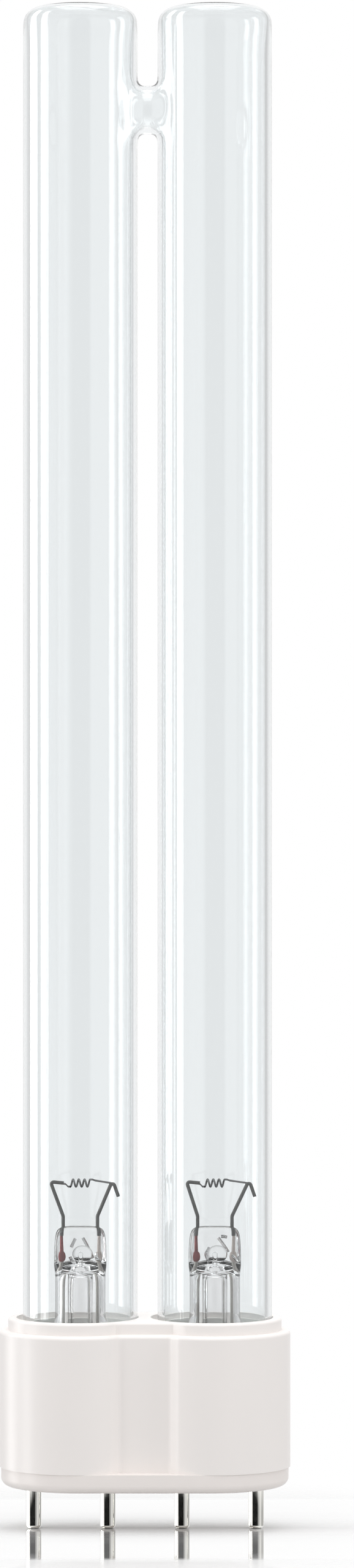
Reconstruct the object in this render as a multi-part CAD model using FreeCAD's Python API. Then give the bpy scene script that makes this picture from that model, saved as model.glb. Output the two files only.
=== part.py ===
import FreeCAD, Part
import math
import os

# A U-shaped fluorescent lamp: two clear glass tubes standing side by side in a plastic base with
# four pins in a row. Millimetres. Z runs up along the tubes and z = 0 is the base's underside, which
# seats on the lampholder. X runs along the row of pins, and the front of the lamp looks along -Y.

V = FreeCAD.Vector
UP = V(0, 0, 1)
ALONG_ROW = V(1, 0, 0)

# glass tubes; the glass sits a little to the right in its sockets, as it was cemented
TUBE_R = 8.5
TUBE_WALL = 1.0
TUBE_GAP = 3.0
TUBE_TOP = 220.0
TOP_CORNER_R = 2.4
DIMPLE_R = 2.0
DIMPLE_DEPTH = 0.35
GLASS_SHIFT = 0.4
TUBE_OFFSET = TUBE_R + TUBE_GAP / 2
TUBE_BORE_R = TUBE_R - TUBE_WALL

# fused bridge between the tubes
BRIDGE_BELOW_TOP = 16.1
BRIDGE_NECK_R = 3.45
BRIDGE_WALL = 0.95
BRIDGE_FILLET = 0.95
BRIDGE_BEAD_R = 0.2
BRIDGE_Z = TUBE_TOP - BRIDGE_BELOW_TOP

# plastic base
COLLAR_TOP = 24.8
COLLAR_TALL = 1.8
COLLAR_INSET = 1.3
RIM_FILLET = 0.45
SHOULDER_FILLET = 0.6
SHOULDER_Z = COLLAR_TOP - COLLAR_TALL
HOUSING_WALL = 1.6
SOCKET_GAP = 0.6
SOCKET_WALL = 2.5
SOCKET_R = TUBE_R + SOCKET_GAP
LOBE_R = SOCKET_R + SOCKET_WALL
CHANNEL_DEPTH = 2.4
CHANNEL_FLOOR = 3.65
CHANNEL_FLARE = 1.25
SOCKET_DEPTH = 5.3
TUBE_BED = 0.5
SOCKET_FLOOR = COLLAR_TOP - SOCKET_DEPTH
TUBE_BOTTOM = SOCKET_FLOOR + TUBE_BED
DECK_THICK = 1.5
LEAD_OPENING_R = TUBE_R - 2.5
CEMENT_BELOW_RIM = 0.8

# stem that closes each tube's lower end
STEM_R = 3.75
STEM_WALL = 0.75
STEM_BORE_R = STEM_R - STEM_WALL
FLARE_LIP = 1.2
FLARE_TALL = 5.5
FLARE_HOLLOW = 0.55
STEM_STRAIGHT = 5.9
FLARE_END = TUBE_BOTTOM + FLARE_TALL
PINCH_BOTTOM = FLARE_END + STEM_STRAIGHT
PINCH_TALL = 6.95
PINCH_WIDE = 7.8
PINCH_THIN = 3.0
PINCH_TOP = PINCH_BOTTOM + PINCH_TALL
EXHAUST_R = 1.85
EXHAUST_WALL = 0.6
EXHAUST_BORE_R = EXHAUST_R - EXHAUST_WALL
EXHAUST_CHANNEL_R = 0.85
EXHAUST_HOLE_R = 1.3
EXHAUST_HOLE_Z = PINCH_BOTTOM + 2.7
EXHAUST_BELOW = 8.5
EXHAUST_TAPER = 2.2
EXHAUST_TIP_R = 0.5
EXHAUST_TIP = TUBE_BOTTOM - EXHAUST_BELOW

# wires through the stem
LEAD_CLEAR = 0.2
INNER_LEAD_R = 0.27
SEAL_WIRE_R = 0.2
OUTER_LEAD_R = 0.25
LEAD_X = STEM_BORE_R - LEAD_CLEAR - OUTER_LEAD_R
SEAL_BOTTOM = PINCH_BOTTOM + 1.6
SEAL_TOP = PINCH_TOP - 1.5
LEAD_BEND_Z = PINCH_TOP + 1.45
LEAD_BEND_R = 0.9
COIL_ABOVE_PINCH = 6.35
COIL_Z = PINCH_TOP + COIL_ABOVE_PINCH
CLAMP_BEND_R = 0.33
WRAP_LONG = 2.0
WRAP_OVER = 0.2
HOOK_OVER = 0.45
HOOK_OUT = 0.85
HOOK_DOWN = 2.0

# coiled cathode
COIL_TURNS = 3.5
COIL_STEPS = 8
COIL_PITCH = 0.85
COIL_MEAN_R = 0.55
COIL_WIRE_R = 0.15
COIL_RUN_IN = 0.4
TAIL_IN_WRAP = 0.9

# how far out each lead ends, for the left and the right lead of the left tube and of the right tube
LEAD_ENDS = ((4.45, 4.8), (4.2, 5.1))

# pin plate
PLATE_TOP = 2.8
PLATE_FRONT_STEP = 0.05
PLATE_END_STEP = 0.27
PLATE_EDGE_R = 1.2
SPIGOT_GAP = 0.1
SPIGOT_WALL = 1.2
SPIGOT_TALL = 2.0
PIN_WELL_R = 1.6
PIN_WELL_DEPTH = 0.1
BOSS_R = 2.4
BOSS_TALL = 2.2
BOSS_TOP = PLATE_TOP + BOSS_TALL

# contact pins
PIN_PAST_TUBE = 1.0
PIN_PITCH = TUBE_OFFSET + PIN_PAST_TUBE
PIN_R = 1.15
PIN_LENGTH = 6.5
PIN_TIP_R = 0.92
PIN_SHANK_R = 0.85
PIN_FLANGE_R = 1.7
PIN_FLANGE = 0.6
PIN_NECK_R = 0.75
PIN_NECK = 2.4
PIN_BORE_R = 0.4
PIN_TIP_WALL = 1.3
CRIMP_LONG = 2.2
PIN_FLANGE_TOP = BOSS_TOP + PIN_FLANGE
PIN_NECK_TOP = PIN_FLANGE_TOP + PIN_NECK
LEAD_FREE_OVER_PIN = 2.0
LEAD_FREE_UNDER_DECK = 4.0
LEAD_GATHER_Z = PIN_NECK_TOP + LEAD_FREE_OVER_PIN
LEAD_SPREAD_Z = SOCKET_FLOOR - LEAD_FREE_UNDER_DECK
OUTER_BEND_R = 1.6

PIN_X = [(i - 1.5) * PIN_PITCH for i in range(4)]


def face_from(edges):
    """A flat face from a closed run of edges."""
    return Part.Face(Part.Wire(Part.__sortEdges__(edges)))


def line(a, b):
    return Part.LineSegment(V(*a), V(*b)).toShape()


def arc(a, b, c):
    return Part.Arc(V(*a), V(*b), V(*c)).toShape()


def turned(section):
    """Turn a half section about the Z axis by a full turn."""
    return section.revolve(V(0, 0, 0), UP, 360)


def base_outline(inset, z):
    """The base seen from above: two round lobes and a flat-floored channel front and back."""
    lobe = LOBE_R - inset
    floor_y = LOBE_R - CHANNEL_DEPTH
    mouth_x = CHANNEL_FLOOR + CHANNEL_FLARE
    mouth_y = math.sqrt(LOBE_R**2 - (TUBE_OFFSET - mouth_x) ** 2)
    run = V(mouth_x - CHANNEL_FLOOR, mouth_y - floor_y, 0)
    run.normalize()
    inward = V(run.y, -run.x, 0)
    start = V(CHANNEL_FLOOR, floor_y, 0) + inward * inset
    corner = start + run * ((floor_y - inset - start.y) / run.y)
    # the slanted channel wall is followed outwards to the lobe
    from_lobe = corner - V(TUBE_OFFSET, 0, 0)
    ahead = -from_lobe.dot(run)
    mouth = corner + run * (ahead + math.sqrt(ahead**2 - from_lobe.dot(from_lobe) + lobe**2))
    edges = []
    for s in (1, -1):
        edges.append(line((-corner.x, s * corner.y, z), (corner.x, s * corner.y, z)))
        for t in (1, -1):
            edges.append(line((t * corner.x, s * corner.y, z), (t * mouth.x, s * mouth.y, z)))
    for t in (1, -1):
        outer = t * (TUBE_OFFSET + lobe)
        edges.append(arc((t * mouth.x, mouth.y, z), (outer, 0, z), (t * mouth.x, -mouth.y, z)))
    return face_from(edges)


def stadium(radius, centre_x, z):
    """A plain long outline with two half-round ends."""
    x = centre_x
    return face_from(
        [
            line((-x, radius, z), (x, radius, z)),
            line((-x, -radius, z), (x, -radius, z)),
            arc((x, radius, z), (x + radius, 0, z), (x, -radius, z)),
            arc((-x, radius, z), (-x - radius, 0, z), (-x, -radius, z)),
        ]
    )


def upright(radius, x, bottom, top):
    return Part.makeCylinder(radius, top - bottom, V(x, 0, bottom), UP)


def edges_at(shape, z):
    """The edges that lie wholly at one height."""
    found = []
    for edge in shape.Edges:
        box = edge.BoundBox
        if abs(box.ZMin - z) < 1e-4 and abs(box.ZMax - z) < 1e-4:
            found.append(edge)
    return found


def closed_tube(radius, bottom, top, corner, dimple_wall):
    """A round body with a rounded top corner and a shallow hollow in the middle of its top."""
    mid = corner * (1 - math.sqrt(0.5))
    section = face_from(
        [
            line((0, 0, bottom), (radius, 0, bottom)),
            line((radius, 0, bottom), (radius, 0, top - corner)),
            arc((radius, 0, top - corner), (radius - mid, 0, top - mid), (radius - corner, 0, top)),
            line((radius - corner, 0, top), (0, 0, top)),
            line((0, 0, top), (0, 0, bottom)),
        ]
    )
    ball_r = (DIMPLE_R**2 + DIMPLE_DEPTH**2) / (2 * DIMPLE_DEPTH)
    ball = Part.makeSphere(ball_r + dimple_wall, V(0, 0, TUBE_TOP - DIMPLE_DEPTH + ball_r))
    # a quarter turn takes the seam out of the way of the bridge
    return turned(section).rotated(V(0, 0, 0), UP, 90).cut(ball)


def make_envelope():
    """Both tubes and the bridge that joins them near the top, blown and fused as one hollow glass body."""
    outer = closed_tube(TUBE_R, TUBE_BOTTOM, TUBE_TOP, TOP_CORNER_R, 0)
    inner_corner = TOP_CORNER_R - TUBE_WALL / 2
    inner = closed_tube(TUBE_BORE_R, TUBE_BOTTOM, TUBE_TOP - TUBE_WALL, inner_corner, TUBE_WALL)
    reach = TUBE_OFFSET - TUBE_R / 2
    neck = Part.makeCylinder(BRIDGE_NECK_R, 2 * reach, V(-reach, 0, BRIDGE_Z), ALONG_ROW)
    bore = Part.makeCylinder(BRIDGE_NECK_R - BRIDGE_WALL, 2 * reach, V(-reach, 0, BRIDGE_Z), ALONG_ROW)
    body = neck
    for x in (-TUBE_OFFSET, TUBE_OFFSET):
        body = body.fuse(outer.translated(V(x, 0, 0)))
    roots = [edge for edge in body.Edges if near_bridge_root(edge)]
    body = body.makeFillet(BRIDGE_FILLET, roots)
    body = body.fuse(Part.makeTorus(BRIDGE_NECK_R, BRIDGE_BEAD_R, V(0, 0, BRIDGE_Z), ALONG_ROW))
    for x in (-TUBE_OFFSET, TUBE_OFFSET):
        body = body.cut(inner.translated(V(x, 0, 0)))
    return body.cut(bore).removeSplitter().translated(V(GLASS_SHIFT, 0, 0))


def near_bridge_root(edge):
    """Is this edge where the bridge's neck runs into a tube?"""
    box = edge.BoundBox
    tall = box.ZMax - box.ZMin
    side = min(abs(box.XMin), abs(box.XMax))
    return abs(side - TUBE_GAP / 2) < TUBE_GAP / 50 and abs(tall / (2 * BRIDGE_NECK_R) - 1) < 0.02


def rod(points, bends, radius):
    """A round wire along a run of straight stretches, each corner turned with its own bend radius."""
    points = [V(*p) for p in points]
    edges = []
    last = points[0]
    for i in range(1, len(points) - 1):
        corner = points[i]
        back = points[i - 1] - corner
        ahead = points[i + 1] - corner
        back.normalize()
        ahead.normalize()
        half = back.getAngle(ahead) / 2
        cut = bends[i - 1] / math.tan(half)
        start = corner + back * cut
        end = corner + ahead * cut
        middle = back + ahead
        middle.normalize()
        top = corner + middle * (bends[i - 1] / math.sin(half) - bends[i - 1])
        edges.append(Part.LineSegment(last, start).toShape())
        edges.append(Part.Arc(start, top, end).toShape())
        last = end
    edges.append(Part.LineSegment(last, points[-1]).toShape())
    path = Part.Wire(edges)
    along = points[1] - points[0]
    disc = Part.Wire(Part.Circle(points[0], along, radius).toShape())
    return path.makePipeShell([disc], True, False)


def make_inner_lead(side, end_x):
    """Support wire from the pinch up to the cathode. The left one (side -1) is folded back along the
    cathode's tail, and the right one (side 1) is hooked over it."""
    if side < 0:
        corner = (-end_x, 0, COIL_Z + WRAP_OVER)
        end = (WRAP_LONG - end_x, 0, COIL_Z)
    else:
        corner = (end_x, 0, COIL_Z + HOOK_OVER)
        end = (end_x + HOOK_OUT, 0, COIL_Z - HOOK_DOWN)
    points = [(side * LEAD_X, 0, SEAL_TOP), (side * LEAD_X, 0, LEAD_BEND_Z), corner, end]
    return rod(points, [LEAD_BEND_R, CLAMP_BEND_R], INNER_LEAD_R)


def make_cathode(left_end, right_end):
    """Coiled tungsten wire: open turns along X and two straight tails that reach into the clamps."""
    half = COIL_TURNS * COIL_PITCH / 2
    left_x = left_end - WRAP_LONG + TAIL_IN_WRAP
    rise = (COIL_Z - LEAD_BEND_Z) / (COIL_Z + HOOK_OVER - LEAD_BEND_Z)
    right_x = LEAD_X + (right_end - LEAD_X) * rise
    points = [V(-left_x, 0, 0), V(-(left_x + half) / 2, 0, 0)]
    points.append(V(-half - COIL_RUN_IN, 0, -COIL_MEAN_R / 3))
    for i in range(int(COIL_TURNS * COIL_STEPS) + 1):
        angle = 2 * math.pi * i / COIL_STEPS - math.pi / 2
        x = -half + COIL_PITCH * i / COIL_STEPS
        points.append(V(x, COIL_MEAN_R * math.cos(angle), COIL_MEAN_R * math.sin(angle)))
    points.append(V(half + COIL_RUN_IN, 0, COIL_MEAN_R / 3))
    points += [V((right_x + half) / 2, 0, 0), V(right_x, 0, 0)]
    curve = Part.BSplineCurve()
    curve.interpolate(points)
    along = curve.tangent(curve.FirstParameter)[0]
    disc = Part.Wire(Part.Circle(points[0], along, COIL_WIRE_R).toShape())
    coil = Part.Wire(curve.toShape()).makePipeShell([disc], True, False)
    return coil.translated(V(0, 0, COIL_Z))


def make_outer_lead(side, pin_dx):
    """Soft wire from the pinch down through the stem and across into its pin."""
    points = [
        (side * LEAD_X, 0, SEAL_BOTTOM),
        (side * LEAD_X, 0, LEAD_SPREAD_Z),
        (pin_dx, 0, LEAD_GATHER_Z),
        (pin_dx, 0, PIN_TIP_WALL - PIN_LENGTH),
    ]
    return rod(points, [OUTER_BEND_R, OUTER_BEND_R], OUTER_LEAD_R)


def oval(half_x, half_y, squareness, z):
    """A closed smooth outline between an ellipse (squareness 2) and a rounded rectangle."""
    points = []
    for i in range(24):
        angle = 2 * math.pi * i / 24
        c, s = math.cos(angle), math.sin(angle)
        x = half_x * math.copysign(abs(c) ** (2 / squareness), c)
        y = half_y * math.copysign(abs(s) ** (2 / squareness), s)
        points.append(V(x, y, z))
    curve = Part.BSplineCurve()
    curve.interpolate(points, PeriodicFlag=True)
    return Part.Wire(curve.toShape())


def make_pinch():
    """The softened glass squeezed flat round the wires: round at its foot, flat and wide above."""
    wide = PINCH_WIDE / 2
    thin = PINCH_THIN / 2
    foot = STEM_R - 0.1
    sections = [
        oval(foot, foot, 2, PINCH_BOTTOM),
        oval((foot + wide) / 2, foot * 0.8, 2.2, PINCH_BOTTOM + PINCH_TALL * 0.09),
        oval(wide, thin * 1.25, 2.6, PINCH_BOTTOM + PINCH_TALL * 0.22),
        oval(wide, thin, 3, PINCH_BOTTOM + PINCH_TALL * 0.36),
        oval(wide * 0.98, thin, 3, PINCH_BOTTOM + PINCH_TALL * 0.7),
        oval(wide * 0.88, thin * 0.95, 2.8, PINCH_BOTTOM + PINCH_TALL * 0.9),
        oval(wide * 0.68, thin * 0.6, 2.5, PINCH_TOP),
    ]
    return Part.makeLoft(sections, True, False)


def make_stem(wires):
    """Flared glass stem: a trumpet sealed to the tube, a flattened pinch round the wires, and the
    tube through which the lamp was emptied of air, tipped off inside the base."""
    lip_top = TUBE_BOTTOM + FLARE_LIP
    inner_lip = TUBE_BORE_R - STEM_WALL
    slim = FLARE_HOLLOW * (TUBE_BORE_R - STEM_R) * 0.4
    bend = (STEM_R + slim, 0, FLARE_END - FLARE_TALL * 0.4)
    bend_in = (STEM_BORE_R + slim, 0, FLARE_END - FLARE_TALL * 0.5)
    trumpet = turned(
        face_from(
            [
                line((inner_lip, 0, TUBE_BOTTOM), (TUBE_BORE_R, 0, TUBE_BOTTOM)),
                line((TUBE_BORE_R, 0, TUBE_BOTTOM), (TUBE_BORE_R, 0, lip_top)),
                arc((TUBE_BORE_R, 0, lip_top), bend, (STEM_R, 0, FLARE_END)),
                line((STEM_R, 0, FLARE_END), (STEM_R, 0, PINCH_BOTTOM)),
                line((STEM_R, 0, PINCH_BOTTOM), (STEM_BORE_R, 0, PINCH_BOTTOM)),
                line((STEM_BORE_R, 0, PINCH_BOTTOM), (STEM_BORE_R, 0, FLARE_END)),
                arc((STEM_BORE_R, 0, FLARE_END), bend_in, (inner_lip, 0, TUBE_BOTTOM)),
            ]
        )
    )
    tip_top = EXHAUST_TIP + EXHAUST_TAPER
    exhaust = upright(EXHAUST_R, 0, tip_top, EXHAUST_HOLE_Z)
    exhaust = exhaust.fuse(Part.makeSphere(EXHAUST_R, V(0, 0, EXHAUST_HOLE_Z)))
    tip = Part.makeCone(EXHAUST_TIP_R, EXHAUST_R, EXHAUST_TAPER, V(0, 0, EXHAUST_TIP), UP)
    bore_top = PINCH_BOTTOM - EXHAUST_BORE_R
    bore = upright(EXHAUST_BORE_R, 0, tip_top, bore_top)
    bore = bore.fuse(Part.makeSphere(EXHAUST_BORE_R, V(0, 0, bore_top)))
    bore = bore.fuse(upright(EXHAUST_CHANNEL_R, 0, bore_top, EXHAUST_HOLE_Z))
    hole = Part.makeCylinder(EXHAUST_HOLE_R, STEM_R, V(0, 0, EXHAUST_HOLE_Z), V(0, -1, 0))
    stem = trumpet.fuse(make_pinch()).fuse(exhaust).fuse(tip).cut(bore).cut(hole)
    for wire in wires:
        stem = stem.cut(wire)
    return stem.removeSplitter()


def make_housing():
    """Moulded base: two lobes with a channel front and back, a collar on top and a hollow inside."""
    body = base_outline(0, PLATE_TOP).extrude(UP * (SHOULDER_Z - PLATE_TOP))
    body = body.makeFillet(SHOULDER_FILLET, edges_at(body, SHOULDER_Z))
    collar = base_outline(COLLAR_INSET, SHOULDER_Z - 1).extrude(UP * (COLLAR_TOP - SHOULDER_Z + 1))
    collar = collar.makeFillet(RIM_FILLET, edges_at(collar, COLLAR_TOP))
    shell = body.fuse(collar)
    deck_under = SOCKET_FLOOR - DECK_THICK
    hollow = base_outline(HOUSING_WALL, PLATE_TOP - 1).extrude(UP * (deck_under - PLATE_TOP + 1))
    shell = shell.cut(hollow)
    for x in (-TUBE_OFFSET, TUBE_OFFSET):
        shell = shell.cut(upright(SOCKET_R, x, SOCKET_FLOOR, COLLAR_TOP + 1))
        shell = shell.cut(upright(LEAD_OPENING_R, x, deck_under - 1, SOCKET_FLOOR + 1))
    return shell.removeSplitter()


def make_plate():
    """The base's floor: a long oval plate with a rim that enters the housing and four pin bosses."""
    radius = LOBE_R - PLATE_FRONT_STEP
    centre_x = TUBE_OFFSET + PLATE_FRONT_STEP - PLATE_END_STEP
    plate = stadium(radius, centre_x, 0).extrude(UP * PLATE_TOP)
    plate = plate.makeFillet(PLATE_EDGE_R, edges_at(plate, 0))
    rim_inset = HOUSING_WALL + SPIGOT_GAP
    rim = base_outline(rim_inset, PLATE_TOP - 0.5).extrude(UP * (SPIGOT_TALL + 0.5))
    rim_bore = base_outline(rim_inset + SPIGOT_WALL, PLATE_TOP).extrude(UP * (SPIGOT_TALL + 1))
    plate = plate.fuse(rim).cut(rim_bore)
    for x in PIN_X:
        plate = plate.fuse(upright(BOSS_R, x, PLATE_TOP - 0.5, BOSS_TOP))
    for x in PIN_X:
        plate = plate.cut(upright(PIN_WELL_R, x, -1, PIN_WELL_DEPTH))
        plate = plate.cut(upright(PIN_SHANK_R, x, -1, BOSS_TOP + 1))
    return plate.removeSplitter()


def make_pin():
    """Turned hollow pin: the outside end rounded, a shoulder under the plate and a flange over it."""
    tip = -PIN_LENGTH
    round_mid = PIN_TIP_R * (1 - math.sqrt(0.5))
    lead_end = tip + PIN_TIP_WALL
    crimp_top = lead_end + CRIMP_LONG
    tip_arc = arc(
        (PIN_R - PIN_TIP_R, 0, tip),
        (PIN_R - round_mid, 0, tip + round_mid),
        (PIN_R, 0, tip + PIN_TIP_R),
    )
    # the half section from the tip up the outside, and back down the bore
    run = [
        (PIN_R, tip + PIN_TIP_R),
        (PIN_R, PIN_WELL_DEPTH),
        (PIN_SHANK_R, PIN_WELL_DEPTH),
        (PIN_SHANK_R, BOSS_TOP),
        (PIN_FLANGE_R, BOSS_TOP),
        (PIN_FLANGE_R, PIN_FLANGE_TOP),
        (PIN_NECK_R, PIN_FLANGE_TOP),
        (PIN_NECK_R, PIN_NECK_TOP),
        (PIN_BORE_R, PIN_NECK_TOP),
        (PIN_BORE_R, crimp_top),
        (OUTER_LEAD_R, crimp_top),
        (OUTER_LEAD_R, lead_end),
        (0, lead_end),
        (0, tip),
        (PIN_R - PIN_TIP_R, tip),
    ]
    edges = [tip_arc]
    for (r0, z0), (r1, z1) in zip(run, run[1:]):
        edges.append(line((r0, 0, z0), (r1, 0, z1)))
    return turned(face_from(edges))


def make_cement():
    """Ring of set cement between a tube's end and its socket, with a bed under the tube."""
    ring = upright(SOCKET_R, 0, SOCKET_FLOOR, COLLAR_TOP - CEMENT_BELOW_RIM)
    ring = ring.cut(upright(TUBE_R, GLASS_SHIFT, TUBE_BOTTOM, COLLAR_TOP))
    return ring.cut(upright(LEAD_OPENING_R, 0, SOCKET_FLOOR - 1, TUBE_BOTTOM + 1))


def save(shape, name):
    """Write one piece's solid to its own file, and say so if it isn't one sound solid."""
    if len(shape.Solids) != 1 or not shape.isValid():
        print("CHECK", name, "solids", len(shape.Solids), "valid", shape.isValid())
    solid = max(shape.Solids, key=lambda piece: piece.Volume)
    solid.exportStep(os.path.join("parts", name + ".step"))
    print(name, round(solid.Volume, 2), "mm3")


def make_tube_fittings(side_name, socket_x, ends, pin_xs, first_number):
    """The stem, wires, cathode and cement ring at the foot of one tube."""
    tube_x = socket_x + GLASS_SHIFT
    inner = []
    seal = []
    outer = []
    for side, end_x, pin_x in zip((-1, 1), ends, pin_xs):
        inner.append(make_inner_lead(side, end_x))
        seal.append(upright(SEAL_WIRE_R, side * LEAD_X, SEAL_BOTTOM, SEAL_TOP))
        outer.append(make_outer_lead(side, pin_x - tube_x))
    coil = make_cathode(*ends)
    for wire in inner:
        coil = coil.cut(wire)
    pieces = {
        f"stem_{side_name}": make_stem(inner + seal + outer),
        f"cathode_coil_{side_name}": coil,
    }
    for i in range(2):
        pieces[f"inner_lead_{first_number + i}"] = inner[i]
        pieces[f"seal_wire_{first_number + i}"] = seal[i]
        pieces[f"outer_lead_{first_number + i}"] = outer[i]
    for name, shape in pieces.items():
        save(shape.translated(V(tube_x, 0, 0)), name)
    save(make_cement().translated(V(socket_x, 0, 0)), f"cement_ring_{side_name}")


def main():
    os.makedirs("parts", exist_ok=True)
    save(make_envelope(), "glass_envelope")
    save(make_housing(), "base_housing")
    save(make_plate(), "pin_plate")
    pin = make_pin()
    for number, x in enumerate(PIN_X, 1):
        save(pin.translated(V(x, 0, 0)), f"contact_pin_{number}")
    make_tube_fittings("left", -TUBE_OFFSET, LEAD_ENDS[0], PIN_X[:2], 1)
    make_tube_fittings("right", TUBE_OFFSET, LEAD_ENDS[1], PIN_X[2:], 3)


main()
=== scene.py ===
# %% [markdown]
# # A clear twin tube lamp, dressed for its picture
# The lamp is two clear glass tubes joined by a short bridge, standing in a white plastic base on
# four metal pins. Each step below says what a piece is on the real lamp, how it could be made, and
# why it is made this way here.

# %% Open the frame
import math
import bpy
import bmesh
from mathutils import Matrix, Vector


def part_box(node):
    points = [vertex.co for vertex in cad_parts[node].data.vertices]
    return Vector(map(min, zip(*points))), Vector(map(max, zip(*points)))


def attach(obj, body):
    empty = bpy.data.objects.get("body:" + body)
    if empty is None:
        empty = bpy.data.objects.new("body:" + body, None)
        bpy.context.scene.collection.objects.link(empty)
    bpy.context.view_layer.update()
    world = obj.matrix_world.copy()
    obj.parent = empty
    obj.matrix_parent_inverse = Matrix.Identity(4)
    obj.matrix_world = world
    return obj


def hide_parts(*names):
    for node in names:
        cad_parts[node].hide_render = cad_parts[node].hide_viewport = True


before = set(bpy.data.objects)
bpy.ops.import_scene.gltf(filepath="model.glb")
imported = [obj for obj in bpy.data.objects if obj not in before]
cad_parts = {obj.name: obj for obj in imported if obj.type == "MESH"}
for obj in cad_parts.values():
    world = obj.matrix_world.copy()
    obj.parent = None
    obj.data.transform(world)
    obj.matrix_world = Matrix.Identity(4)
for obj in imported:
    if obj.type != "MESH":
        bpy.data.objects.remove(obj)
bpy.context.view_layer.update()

# %% [markdown]
# ## Sizes taken from the frame
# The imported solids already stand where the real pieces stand, so every size that follows is read
# from them or is a small step off them. Lengths are in metres, and MM turns a millimetre into one.

# %% Read the main sizes
MM = 0.001
UP = Vector((0, 0, 1))

glass_low, glass_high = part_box("glass_envelope")
base_low, base_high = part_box("base_housing")
plate_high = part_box("pin_plate")[1]
pin_low, pin_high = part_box("contact_pin_1")

TUBE_R = 8.5 * MM
TUBE_WALL = 1.0 * MM
TUBE_OFFSET = (glass_high.x - glass_low.x) / 2 - TUBE_R
GLASS_X = (glass_high.x + glass_low.x) / 2
TUBE_BOTTOM = glass_low.z
TUBE_TOP = glass_high.z
TUBE_XS = {"left": GLASS_X - TUBE_OFFSET, "right": GLASS_X + TUBE_OFFSET}
FLOOR_Z = pin_low.z
print("tube centres at", [round(x / MM, 2) for x in TUBE_XS.values()], "mm")
print("tube tops at", round(TUBE_TOP / MM, 2), "mm")

# %% [markdown]
# ## Picking and moving, as by hand
# Every modelling operator works on whatever is selected. These small helpers deselect everything,
# pick vertices, edges or faces by their place, and pull a ring of vertices along, so that each
# piece below reads as a list of the same moves a hand would make.

# %% Selection helpers
def deselect_all():
    """Leave edit mode and let go of every object."""
    if bpy.context.object and bpy.context.object.mode != "OBJECT":
        bpy.ops.object.mode_set(mode="OBJECT")
    bpy.ops.object.select_all(action="DESELECT")


def hold(piece):
    """Select one object and make it the active one."""
    deselect_all()
    piece.select_set(True)
    bpy.context.view_layer.objects.active = piece


def pick(kind, test):
    """In edit mode, select the vertices, edges or faces whose middle passes the test."""
    piece = bpy.context.object
    bpy.ops.mesh.select_mode(type=kind)
    bpy.ops.mesh.select_all(action="DESELECT")
    bm = bmesh.from_edit_mesh(piece.data)
    elements = {"VERT": bm.verts, "EDGE": bm.edges, "FACE": bm.faces}[kind]
    count = 0
    for element in elements:
        if kind == "VERT":
            middle = element.co
        elif kind == "EDGE":
            middle = (element.verts[0].co + element.verts[1].co) / 2
        else:
            middle = element.calc_center_median()
        if test(element, middle):
            element.select = True
            count += 1
    bm.select_flush_mode()
    bmesh.update_edit_mesh(piece.data)
    return count


def picked_middle():
    """The middle of the vertices that are selected now."""
    bm = bmesh.from_edit_mesh(bpy.context.object.data)
    chosen = [v.co for v in bm.verts if v.select]
    total = Vector((0, 0, 0))
    for co in chosen:
        total += co
    return total / len(chosen)


# %% [markdown]
# ## Pulling a ring up a list of stations
# Tubes, stems, pins and rings are all round or oval in section. A ring of vertices is added at the
# first station, then extruded and scaled to each next one. A spin of a profile would do for the
# round ones, but only pulled rings can turn from round to flat, as the stem's pinch does.

# %% Ring helpers
WELD = 0.002 * MM


def start_ring(name, sides, radius, place, turn=(0, 0, 0)):
    """A bare ring of vertices, left in edit mode with all of it selected."""
    deselect_all()
    bpy.ops.mesh.primitive_circle_add(
        vertices=sides, radius=radius, fill_type="NOTHING", location=(0, 0, 0), rotation=(0, 0, 0)
    )
    piece = bpy.context.object
    piece.name = piece.data.name = name
    piece.rotation_euler = turn
    piece.location = place
    bpy.ops.object.transform_apply(location=True, rotation=True, scale=True)
    bpy.ops.object.mode_set(mode="EDIT")
    bpy.ops.mesh.select_all(action="SELECT")
    return piece


def pull(step):
    """Extrude what is selected and move the new ring by a step."""
    bpy.ops.mesh.extrude_region_move(TRANSFORM_OT_translate={"value": step})


def scale_picked(middle, x=1.0, y=1.0, z=1.0):
    """Scale what is selected from a middle."""
    bpy.ops.transform.resize(value=(x, y, z), center_override=middle)


def spin(angle, centre, axis, steps):
    """Sweep what is selected round an axis, anticlockwise as seen from the axis's tip."""
    bpy.ops.mesh.spin(steps=steps, angle=-angle, center=centre, axis=axis)


def pull_rings(name, sides, x, stations, close_first=True):
    """Pull a ring round an upright axis through stations of (z, half width, half depth) to a pole."""
    z, wide, deep = stations[0]
    piece = start_ring(name, sides, wide, (x, 0, z))
    scale_picked((x, 0, z), y=deep / wide)
    if close_first:
        bpy.ops.mesh.edge_face_add()
        bpy.ops.mesh.select_all(action="SELECT")
    for next_z, next_wide, next_deep in stations[1:]:
        pull((0, 0, next_z - z))
        scale_picked((x, 0, next_z), x=next_wide / wide, y=next_deep / deep)
        z, wide, deep = next_z, next_wide, next_deep
    bpy.ops.mesh.merge(type="CENTER")
    return piece


def round_stations(pairs):
    """Stations for a round piece from (z, radius) pairs."""
    return [(z, radius, radius) for z, radius in pairs]


def point_outwards():
    """In edit mode, turn every face to look outwards."""
    bpy.ops.mesh.select_all(action="SELECT")
    bpy.ops.mesh.normals_make_consistent(inside=False)


def tidy_mesh():
    """In edit mode: weld doubles, point the faces outwards and go back to object mode."""
    bpy.ops.mesh.select_all(action="SELECT")
    bpy.ops.mesh.remove_doubles(threshold=WELD)
    bpy.ops.mesh.dissolve_degenerate(threshold=WELD / 2)
    point_outwards()
    if bmesh.from_edit_mesh(bpy.context.object.data).calc_volume(signed=True) < 0:
        bpy.ops.mesh.flip_normals()
    bpy.ops.object.mode_set(mode="OBJECT")


# %% Wire helper
END_SLACK = 0.02 * MM
BEND_STEP = 12


def close_end(end, inward):
    """Fill the open ring at one end of a wire."""
    along = (inward - end).normalized()
    pick("VERT", lambda vertex, middle: vertex.is_boundary and abs((middle - end).dot(along)) < END_SLACK)
    bpy.ops.mesh.edge_face_add()


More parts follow.
